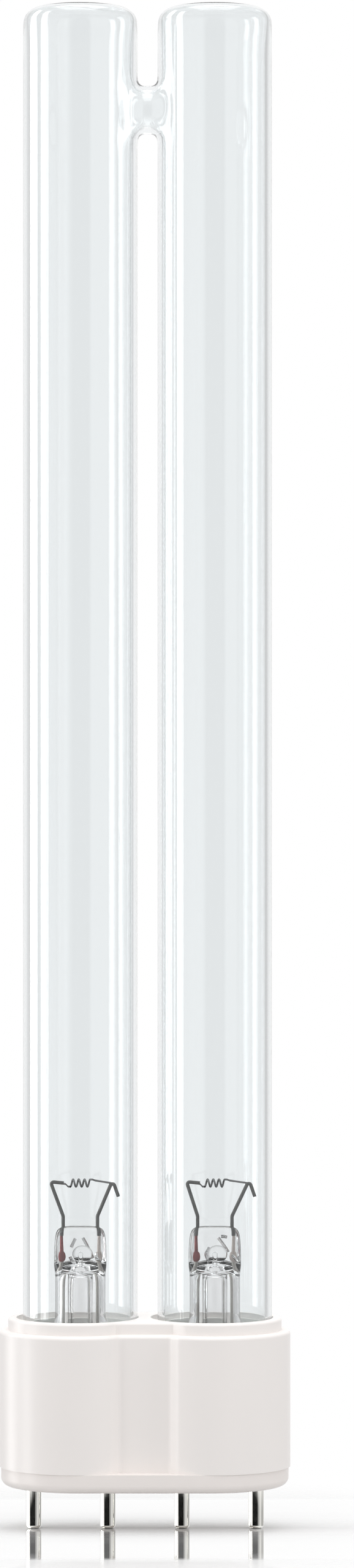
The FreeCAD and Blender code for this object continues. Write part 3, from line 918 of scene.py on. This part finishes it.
def pull_tail(x, hand, reach):
    """Turn the coil's end outwards, lead it up to the coil's axis and pull it to its clamp."""
    bpy.ops.object.mode_set(mode="EDIT")
    pick("EDGE", lambda edge, middle: edge.is_boundary and (middle.x - x) * hand > 0)
    ring = picked_middle()
    spin(math.pi / 2, (ring.x + hand * TAIL_BEND, ring.y, ring.z), UP, 6)
    end = picked_middle()
    pull((hand * TAIL_SLOPE, -end.y, (COIL_Z - end.z) * TAIL_RISE[hand]))
    end = picked_middle()
    pull((x + hand * reach - end.x, 0, COIL_Z - end.z))
    bpy.ops.mesh.edge_face_add()
    bpy.ops.object.mode_set(mode="OBJECT")


def wind_coil(side):
    """One cathode: a ring screwed into a coil, then a tail pulled from each end."""
    x = TUBE_XS[side]
    long = COIL_TURNS * COIL_PITCH
    coil = start_ring("cathode_" + side, 12, COIL_WIRE_R, (0, 0, -COIL_MEAN_R), turn=(math.pi / 2, 0, 0))
    bpy.ops.object.mode_set(mode="OBJECT")
    apply_modifier(
        coil, "SCREW", axis="X", angle=COIL_TURNS * 2 * math.pi, screw_offset=long, steps=COIL_STEPS,
        render_steps=COIL_STEPS, use_merge_vertices=False,
    )
    hold(coil)
    coil.location = (x - long / 2, 0, COIL_Z)
    bpy.ops.object.transform_apply(location=True, rotation=False, scale=False)
    left_end, right_end = LEADS[side]["ends"]
    up_the_lead = (COIL_Z - LEAD_BEND_Z) / (COIL_Z + HOOK_HIGH - LEAD_BEND_Z)
    pull_tail(x, -1, left_end - WRAP_LONG + TAIL_IN_WRAP)
    pull_tail(x, 1, LEAD_X + (right_end - LEAD_X) * up_the_lead)
    bpy.ops.object.mode_set(mode="EDIT")
    tidy_mesh()
    smooth(coil, 60)
    finish_piece(coil, "cathode_coil_" + side, TUNGSTEN)


for side in TUBE_XS:
    wind_coil(side)

# %% [markdown]
# ## The base
# The base is one thin moulding of white plastic: two round lobes with a flat channel between them
# at the front and the back, and a stepped collar with a socket for each tube. Half of its outline is
# spun and pulled as a line of edges, mirrored, filled, and extruded like the moulding it is. Edges
# that a mould leaves soft are bevelled, since a knife-sharp plastic edge never catches light as the
# real one does.

# %% Sizes of the base
LOBE_R = base_high.x - TUBE_OFFSET
LOBE_STEPS = 72
CHANNEL_FLOOR_Y = LOBE_R - 2.4 * MM
CHANNEL_FLOOR_X = 3.65 * MM
CHANNEL_MOUTH_X = 4.9 * MM
CHANNEL_SOFT = 0.35 * MM
COLLAR_TOP = base_high.z
COLLAR_INSET = 1.3 * MM
COLLAR_SOFT = 0.45 * MM
SHOULDER_Z = COLLAR_TOP - 1.8 * MM
SHOULDER_SOFT = 0.6 * MM
HOUSING_WALL = 1.6 * MM
SOCKET_R = 9.1 * MM
SOCKET_FLOOR = TUBE_BOTTOM - 0.5 * MM
SOCKET_FLOOR_THICK = 1.5 * MM
OPENING_R = 6.0 * MM
OVERCUT = 1 * MM
SEAM = 0.01 * MM


# %% The base's outline
def channel_corner(inset):
    """Where the slanted channel wall leaves the channel's floor, moved in by an inset."""
    mouth_y = math.sqrt(LOBE_R**2 - (TUBE_OFFSET - CHANNEL_MOUTH_X) ** 2)
    run = Vector((CHANNEL_MOUTH_X - CHANNEL_FLOOR_X, mouth_y - CHANNEL_FLOOR_Y, 0)).normalized()
    start = Vector((CHANNEL_FLOOR_X, CHANNEL_FLOOR_Y, 0)) + Vector((run.y, -run.x, 0)) * inset
    return start + run * ((CHANNEL_FLOOR_Y - inset - start.y) / run.y), run


def channel_mouth(inset):
    """Where that wall, followed outwards, reaches the lobe."""
    corner, run = channel_corner(inset)
    from_lobe = corner - Vector((TUBE_OFFSET, 0, 0))
    ahead = -from_lobe.dot(run)
    lobe = LOBE_R - inset
    return corner + run * (ahead + math.sqrt(ahead**2 - from_lobe.dot(from_lobe) + lobe**2))


def start_vertex(name, place):
    """One lone vertex in edit mode: a small plane with its corners merged."""
    deselect_all()
    bpy.ops.mesh.primitive_plane_add(size=1 * MM, location=(0, 0, 0))
    piece = bpy.context.object
    piece.name = piece.data.name = name
    bpy.ops.object.mode_set(mode="EDIT")
    bpy.ops.mesh.select_mode(type="VERT")
    bpy.ops.mesh.select_all(action="SELECT")
    bpy.ops.mesh.merge(type="CENTER")
    bpy.ops.transform.translate(value=place)
    return piece


def pick_vertex(place):
    """Select the vertex at a place."""
    pick("VERT", lambda vertex, middle: (middle - Vector(place)).length < 0.05 * MM)


def raise_outline(piece, high):
    """Mirror half an outline, fill it, and extrude the face straight up."""
    bpy.ops.object.mode_set(mode="OBJECT")
    apply_modifier(piece, "MIRROR", use_axis=(True, False, False), merge_threshold=SEAM)
    bpy.ops.object.mode_set(mode="EDIT")
    bpy.ops.mesh.select_all(action="SELECT")
    bpy.ops.mesh.remove_doubles(threshold=SEAM)
    bpy.ops.mesh.edge_face_add()
    bpy.ops.mesh.select_all(action="SELECT")
    pull((0, 0, high))


def base_block(name, inset, low, high):
    """A block with the base's outline, moved in by an inset, from one height to another."""
    mouth = channel_mouth(inset)
    corner = channel_corner(inset)[0]
    front_mouth = (mouth.x, -mouth.y, low)
    piece = start_vertex(name, front_mouth)
    sweep = 2 * (math.pi - math.atan2(mouth.y, TUBE_OFFSET - mouth.x))
    spin(sweep, (TUBE_OFFSET, 0, low), UP, LOBE_STEPS)
    end = picked_middle()
    pull((corner.x - end.x, corner.y - end.y, 0))
    pull((-corner.x, 0, 0))
    pick_vertex(front_mouth)
    pull((corner.x - mouth.x, -corner.y + mouth.y, 0))
    pull((-corner.x, 0, 0))
    raise_outline(piece, high - low)
    return piece


# %% Mould the housing
def upright_cylinder(name, x, radius, low, high, sides=96):
    """A plain cylinder from one height to another, for a tool or a ring."""
    deselect_all()
    bpy.ops.mesh.primitive_cylinder_add(
        vertices=sides, radius=radius, depth=high - low, location=(x, 0, (low + high) / 2)
    )
    tool = bpy.context.object
    tool.name = tool.data.name = name
    bpy.ops.object.transform_apply(location=True, rotation=True, scale=True)
    return tool


def soften_level(z, width, segments):
    """Bevel the edges that lie at one height."""
    point_outwards()
    pick("EDGE", lambda edge, middle: all(abs(v.co.z - z) < 0.005 * MM for v in edge.verts))
    bpy.ops.mesh.bevel(offset=width, segments=segments, affect="EDGES")
    tidy_mesh()


def in_channel(edge, middle):
    """Is this one of the upright edges of a channel?"""
    upright = abs(edge.verts[0].co.z - edge.verts[1].co.z) > 1 * MM
    return upright and abs(middle.x) < CHANNEL_MOUTH_X + 0.1 * MM


def make_housing():
    """The outer block with its collar, hollowed from below and opened for the tubes."""
    housing = base_block("moulded_base", 0, base_low.z, SHOULDER_Z)
    point_outwards()
    pick("EDGE", in_channel)
    bpy.ops.mesh.bevel(offset=CHANNEL_SOFT, segments=3, affect="EDGES")
    soften_level(SHOULDER_Z, SHOULDER_SOFT, 5)
    collar = base_block("collar", COLLAR_INSET, SHOULDER_Z - OVERCUT, COLLAR_TOP)
    soften_level(COLLAR_TOP, COLLAR_SOFT, 4)
    carve(housing, collar, "UNION")
    hollow = base_block("hollow", HOUSING_WALL, base_low.z - OVERCUT, SOCKET_FLOOR - SOCKET_FLOOR_THICK)
    tidy_mesh()
    carve(housing, hollow)
    low, high = SOCKET_FLOOR - 2 * SOCKET_FLOOR_THICK, SOCKET_FLOOR + OVERCUT
    for x in (-TUBE_OFFSET, TUBE_OFFSET):
        carve(housing, upright_cylinder("socket", x, SOCKET_R, SOCKET_FLOOR, COLLAR_TOP + OVERCUT))
        carve(housing, upright_cylinder("opening", x, OPENING_R, low, high, 64))
    smooth(housing, 40)
    finish_piece(housing, "base_housing", WHITE_PLASTIC)


make_housing()

# %% [markdown]
# ## The pin plate
# A separate oval plate closes the base from below and carries the pins. It is the one place where
# the housing's channel and lobes sit on a plain long oval, which leaves the thin crescent of a step
# that shows at the front. It is spun and pulled like the housing, with a larger soft edge below.

# %% Mould the plate
PLATE_R = plate_high.y
PLATE_CENTRE_X = plate_high.x - PLATE_R
PLATE_TOP = base_low.z
PLATE_SOFT = 1.2 * MM
PLATE_SINK = 0.5 * MM
RIM_GAP = 0.1 * MM
RIM_THICK = 1.2 * MM
RIM_HIGH = 2.0 * MM
BOSS_R = 2.4 * MM
WELL_R = 1.6 * MM
WELL_TOP = 0.1 * MM
SHANK_R = 0.85 * MM


def make_plate():
    """The oval floor, with a rim inside the housing and a boss, a well and a hole for each pin."""
    front = (PLATE_CENTRE_X, -PLATE_R, 0)
    plate = start_vertex("pin_carrier", front)
    spin(math.pi, (PLATE_CENTRE_X, 0, 0), UP, 64)
    pull((-picked_middle().x, 0, 0))
    pick_vertex(front)
    pull((-PLATE_CENTRE_X, 0, 0))
    raise_outline(plate, PLATE_TOP)
    soften_level(0, PLATE_SOFT, 8)
    rim_inset = HOUSING_WALL + RIM_GAP
    rim = base_block("rim", rim_inset, PLATE_TOP - PLATE_SINK, PLATE_TOP + RIM_HIGH)
    tidy_mesh()
    carve(plate, rim, "UNION")
    space = base_block("space", rim_inset + RIM_THICK, PLATE_TOP, PLATE_TOP + 2 * RIM_HIGH)
    tidy_mesh()
    carve(plate, space)
    for number in range(1, 5):
        x = pin_x(number)
        boss = upright_cylinder("boss", x, BOSS_R, PLATE_TOP - PLATE_SINK, plate_high.z, 48)
        carve(plate, boss, "UNION")
        carve(plate, upright_cylinder("well", x, WELL_R, -OVERCUT, WELL_TOP, 48))
        carve(plate, upright_cylinder("hole", x, SHANK_R, -OVERCUT, plate_high.z + OVERCUT, 48))
    smooth(plate, 40)
    finish_piece(plate, "pin_plate", PLATE_PLASTIC)


make_plate()

# %% [markdown]
# ## Contact pins
# The pins are thin hollow turnings of plated brass. Each is one ring pulled along its outline,
# from the closed tip up the outside, over the flange that holds it in the plate, and back down its
# bore. One pin is made and the other three are copies with their own mesh.

# %% Turn the pins
PIN_R = 1.15 * MM
NOSE_R = 0.5 * MM
PIN_SOFT = 0.05 * MM
FLANGE_R = 1.7 * MM
FLANGE_THICK = 0.6 * MM
HEAD_R = 0.75 * MM
PIN_BORE_R = 0.4 * MM
PIN_TIP_BORE_R = 0.25 * MM


def pin_stations():
    """The pin's outline from the middle of its tip to the bottom of its bore."""
    tip = pin_low.z
    flange = plate_high.z
    flange_top = flange + FLANGE_THICK
    pairs = [(tip, 0.05 * MM), (tip, PIN_R - NOSE_R)]
    for degrees in (15, 30, 45, 60, 75, 90):
        angle = math.radians(degrees)
        pairs.append((tip + NOSE_R * (1 - math.cos(angle)), PIN_R - NOSE_R * (1 - math.sin(angle))))
    pairs += [
        (WELL_TOP - PIN_SOFT, PIN_R), (WELL_TOP, PIN_R - PIN_SOFT), (WELL_TOP, SHANK_R),
        (flange, SHANK_R), (flange, FLANGE_R - PIN_SOFT), (flange + PIN_SOFT, FLANGE_R),
        (flange_top - PIN_SOFT, FLANGE_R), (flange_top, FLANGE_R - PIN_SOFT), (flange_top, HEAD_R),
        (pin_high.z - PIN_SOFT, HEAD_R), (pin_high.z, HEAD_R - PIN_SOFT), (pin_high.z, PIN_BORE_R),
        (tip + 3.5 * MM, PIN_BORE_R), (tip + 3.5 * MM, PIN_TIP_BORE_R),
        (tip + 1.3 * MM, PIN_TIP_BORE_R), (tip + 1.3 * MM, 0.05 * MM),
    ]
    return round_stations(pairs)


pins = [pull_rings("turned_pin_1", 48, pin_x(1), pin_stations())]
tidy_mesh()
for number in (2, 3, 4):
    hold(pins[0])
    bpy.ops.object.duplicate()
    pin = bpy.context.object
    pin.name = pin.data.name = f"turned_pin_{number}"
    pin.location.x = pin_x(number) - pin_x(1)
    bpy.ops.object.transform_apply(location=True, rotation=False, scale=False)
    pins.append(pin)
for number, pin in enumerate(pins, 1):
    smooth(pin)
    finish_piece(pin, f"contact_pin_{number}", PIN_METAL)

# %% [markdown]
# ## Cement rings
# A ring of set cement holds each tube in its socket. The glass isn't quite in the socket's middle,
# so the ring is wider on one side: a disc as wide as the socket is carved by a tube-sized tool that
# stands where the glass stands.

# %% Cast the cement
def make_cement(side, socket_x):
    """One ring: a disc in the socket, carved for the tube and for the opening below it."""
    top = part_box("cement_ring_" + side)[1].z
    ring = upright_cylinder("set_cement_" + side, socket_x, SOCKET_R, SOCKET_FLOOR, top)
    carve(ring, upright_cylinder("tube_space", TUBE_XS[side], TUBE_R, TUBE_BOTTOM, top + 2 * MM))
    low, high = SOCKET_FLOOR - OVERCUT, TUBE_BOTTOM + OVERCUT
    carve(ring, upright_cylinder("opening", socket_x, OPENING_R, low, high, 64))
    smooth(ring, 40)
    finish_piece(ring, "cement_ring_" + side, CEMENT)


make_cement("left", -TUBE_OFFSET)
make_cement("right", TUBE_OFFSET)

# %% [markdown]
# ## The floor
# The lamp stands on a glossy white board. A real board mirrors more the flatter it is looked at, and
# close under the lamp it also shows a soft dark band. One mirror and one matt white paint are mixed,
# with more mirror further from the row of pins, and for mirrored rays it is all mirror. The paint
# looks lighter to the camera than to the light that bounces off it, so that the base isn't lit too
# strongly from below. Past the lamp's shadow the board fades into the white of the room.

# %% Lay the floor
BOARD_R = 0.28
PAINT_BOUNCED, PAINT_SEEN = 0.6, 0.74
PAINT_ROUGH = 0.6
MIRROR_ROUGH = 0.05
FADE_FROM, FADE_TO = 30 * MM, 55 * MM
# how strongly the board mirrors, from the row of pins outwards: millimetres and share
FLOOR_MIRROR = [(0, 0.16), (3.2, 0.38), (6.5, 0.62), (10, 0.76), (18, 0.86), (30.5, 0.86), (33, 0.25)]


def floor_material():
    """Glossy white close to the lamp, fading into the white of the room further off."""
    material, paint, place = new_material("glossy_board")
    tree = material.node_tree
    path = tree.nodes.new("ShaderNodeLightPath").outputs
    white = add_node(
        tree, "ShaderNodeMapRange", Value=path["Is Camera Ray"], To_Min=PAINT_BOUNCED, To_Max=PAINT_SEEN
    )
    set_inputs(
        tree, paint, Base_Color=white.outputs["Result"], Roughness=PAINT_ROUGH, Specular_IOR_Level=0.0
    )
    mirror = add_node(tree, "ShaderNodeBsdfGlossy", Color=(1, 1, 1, 1), Roughness=MIRROR_ROUGH)
    apart = add_node(tree, "ShaderNodeSeparateXYZ", Vector=place)
    depth = add_node(tree, "ShaderNodeMath", "ABSOLUTE", i0=apart.outputs["Y"])
    polish = graded(tree, depth.outputs[0], [(y * MM, share) for y, share in FLOOR_MIRROR])
    seen = add_node(tree, "ShaderNodeMath", "MULTIPLY", i0=path["Is Camera Ray"], i1=polish)
    share = add_node(tree, "ShaderNodeMath", "MAXIMUM", i0=path["Is Glossy Ray"], i1=seen.outputs[0])
    board = add_node(
        tree, "ShaderNodeMixShader", Fac=share.outputs[0], i1=paint.outputs["BSDF"], i2=mirror.outputs["BSDF"]
    )
    away = add_node(tree, "ShaderNodeVectorMath", "LENGTH", i0=place)
    fade = add_node(
        tree, "ShaderNodeMapRange", Value=away.outputs["Value"], From_Min=FADE_FROM, From_Max=FADE_TO
    )
    room = tree.nodes.new("ShaderNodeBsdfTransparent")
    both = add_node(
        tree, "ShaderNodeMixShader", Fac=fade.outputs["Result"], i1=board.outputs["Shader"],
        i2=room.outputs["BSDF"],
    )
    set_inputs(tree, tree.nodes["Material Output"], Surface=both.outputs["Shader"])
    return material


deselect_all()
bpy.ops.mesh.primitive_circle_add(vertices=96, radius=BOARD_R, fill_type="NGON", location=(0, 0, FLOOR_Z))
floor = bpy.context.object
floor.name = "floor"
floor.data.materials.append(floor_material())
print("floor at", round(FLOOR_Z / MM, 2), "mm")

# %% [markdown]
# ## Lamps
# Two tall strip lamps stand on the left and draw the bright lines down the tubes. Two weaker lamps,
# one on each side, and a soft box overhead light the plastic. The glass doesn't show those two side
# lamps, and the strips don't light the plastic, so each can be set for what it is there for.

# %% Set the lamps
LAMP_DISTANCE = 1.2
LAMP_TOP = 1.1
STRIP_LOW, STRIP_STRENGTH = -0.5, 5.0
STRIPS = {"strip_lamp_front": (-79, 0.29), "strip_lamp_back": (-112, 0.34)}
SIDE_LOW, SIDE_WIDE = 0.1, 0.25
SIDE_LAMPS = {"side_lamp": (-60, 2.6), "fill_lamp": (75, 3.2)}
OVERHEAD_PLACE, OVERHEAD_SIZE, OVERHEAD_STRENGTH = (0, -0.3, 1.3), 1.2, 1.9


def area_lamp(name, place, wide, long, strength):
    """A soft lamp that the camera doesn't see, facing down. Strength is how bright its face looks."""
    data = bpy.data.lights.new(name, "AREA")
    data.shape = "RECTANGLE"
    data.size = wide
    data.size_y = long
    data.energy = strength * math.pi * wide * long
    lamp = bpy.data.objects.new(name, data)
    bpy.context.scene.collection.objects.link(lamp)
    lamp.location = place
    lamp.visible_camera = False
    return lamp


def tall_lamp(name, azimuth, wide, low, strength):
    """An upright lamp on a circle round the object, facing it. Azimuth 0 is towards the camera."""
    angle = math.radians(azimuth)
    x, y = math.sin(angle) * LAMP_DISTANCE, -math.cos(angle) * LAMP_DISTANCE
    lamp = area_lamp(name, (x, y, (low + LAMP_TOP) / 2), wide, LAMP_TOP - low, strength)
    lamp.rotation_euler = Vector((-x, -y, 0)).to_track_quat("-Z", "Y").to_euler()
    return lamp


for name, (azimuth, wide) in STRIPS.items():
    strip = tall_lamp(name, azimuth, wide, STRIP_LOW, STRIP_STRENGTH)
    strip.visible_diffuse = False
for name, (azimuth, strength) in SIDE_LAMPS.items():
    side_lamp = tall_lamp(name, azimuth, SIDE_WIDE, SIDE_LOW, strength)
    side_lamp.visible_glossy = False
    side_lamp.visible_transmission = False
area_lamp("overhead_box", OVERHEAD_PLACE, OVERHEAD_SIZE, OVERHEAD_SIZE, OVERHEAD_STRENGTH)

# %% [markdown]
# ## The room
# Clear glass on white only reads because of what it mirrors and bends, so the room isn't white all
# round. It is plain white to the camera. Mirrored rays see a darker gap round the camera's place,
# which gives the pins their dark cores. Rays bent by glass see a room that darkens towards the
# camera's side. The light that falls on plastic is a soft grey that grows towards the ceiling.

# %% Grade the room
# How bright the room looks in a mirror, by the compass: 0 is behind the camera, minus is its left.
# The pins see it again by way of the glossy floor, and there the dark gap is wider.
SEEN_IN_GLASS = [
    (-180, 1.0), (-155, 1.0), (-142, 0.75), (-120, 0.75), (-98, 0.55), (-90, 0.6), (-70, 0.9), (-26, 0.95),
    (-20, 0.4), (18, 0.4), (24, 0.95), (75, 0.95), (95, 0.75), (142, 0.65), (155, 1.0), (180, 1.0),
]
SEEN_IN_PINS = [
    (-180, 1.0), (-165, 0.9), (-90, 0.8), (-58, 0.85), (-52, 0.0), (24, 0.0), (28, 0.35), (45, 0.4),
    (55, 0.75), (78, 0.8), (90, 0.45), (130, 0.45), (165, 1.0), (180, 1.0),
]
# The same for rays bent by glass, by how far they still head away from the camera, from -1 to 1.
SEEN_THROUGH = [(-1, 0.3), (-0.3, 0.3), (0.2, 0.65), (0.7, 0.65), (0.97, 1.0), (1, 1.0)]
CEILING_FROM, CEILING_TO = 0.3, 0.55
ROOM_LOW, ROOM_HIGH, ROOM_REACH = 0.61, 0.8, 0.5

world = bpy.data.worlds.new("white_room")
bpy.context.scene.world = world
world.use_nodes = True
room = world.node_tree


def blend(share, first, second):
    """The first value where the share is 0 and the second where it is 1."""
    return add_node(room, "ShaderNodeMix", Factor=share, A=first, B=second).outputs["Result"]


path = room.nodes.new("ShaderNodeLightPath").outputs
toward = room.nodes.new("ShaderNodeTexCoord").outputs["Generated"]
apart = add_node(room, "ShaderNodeSeparateXYZ", Vector=toward)
east, north, up = (apart.outputs[axis] for axis in "XYZ")
south = add_node(room, "ShaderNodeMath", "MULTIPLY", i0=north, i1=-1.0)
radians = add_node(room, "ShaderNodeMath", "ARCTAN2", i0=east, i1=south.outputs[0])
compass = add_node(room, "ShaderNodeMath", "DEGREES", i0=radians.outputs[0]).outputs[0]
twice = add_node(room, "ShaderNodeMath", "GREATER_THAN", i0=path["Glossy Depth"], i1=1.5)
all_round = blend(twice.outputs[0], graded(room, compass, SEEN_IN_GLASS), graded(room, compass, SEEN_IN_PINS))
ceiling = add_node(room, "ShaderNodeMapRange", Value=up, From_Min=CEILING_FROM, From_Max=CEILING_TO)
mirrored = blend(ceiling.outputs["Result"], all_round, 1.0)
soft = add_node(
    room, "ShaderNodeMapRange", Value=up, From_Max=ROOM_REACH, To_Min=ROOM_LOW, To_Max=ROOM_HIGH
)
bent = blend(path["Is Transmission Ray"], soft.outputs["Result"], graded(room, north, SEEN_THROUGH))
level = blend(path["Is Camera Ray"], blend(path["Is Glossy Ray"], bent, mirrored), 1.0)
set_inputs(room, room.nodes["Background"], Color=(1, 1, 1, 1), Strength=level)
bpy.context.scene.view_settings.view_transform = "Standard"
print("room nodes", len(room.nodes))

# %% Allow for many layers of glass
# a look through the stems crosses up to a dozen glass surfaces, and lamp rays cross as many
light_paths = bpy.context.scene.cycles
light_paths.max_bounces = 24
light_paths.transmission_bounces = 24
light_paths.transparent_max_bounces = 32
print("bounces", light_paths.max_bounces)

# %% [markdown]
# ## The camera
# The picture was taken level, from a little under half the lamp's height, through a long lens. The
# place follows from the base: its front edges and its collar are seen slightly from above.

# %% Place the camera
CAMERA_X = 4.77 * MM
CAMERA_BACK = 0.783
CAMERA_HIGH = 103.9 * MM
CAMERA_LENS = 121.13
CAMERA_SENSOR = 36
camera_data = bpy.data.cameras.new("camera")
camera_data.lens = CAMERA_LENS
camera_data.sensor_width = CAMERA_SENSOR
camera = bpy.data.objects.new("camera", camera_data)
bpy.context.scene.collection.objects.link(camera)
camera.location = (CAMERA_X, -CAMERA_BACK, CAMERA_HIGH)
camera.rotation_euler = (math.pi / 2, 0, 0)
bpy.context.scene.camera = camera
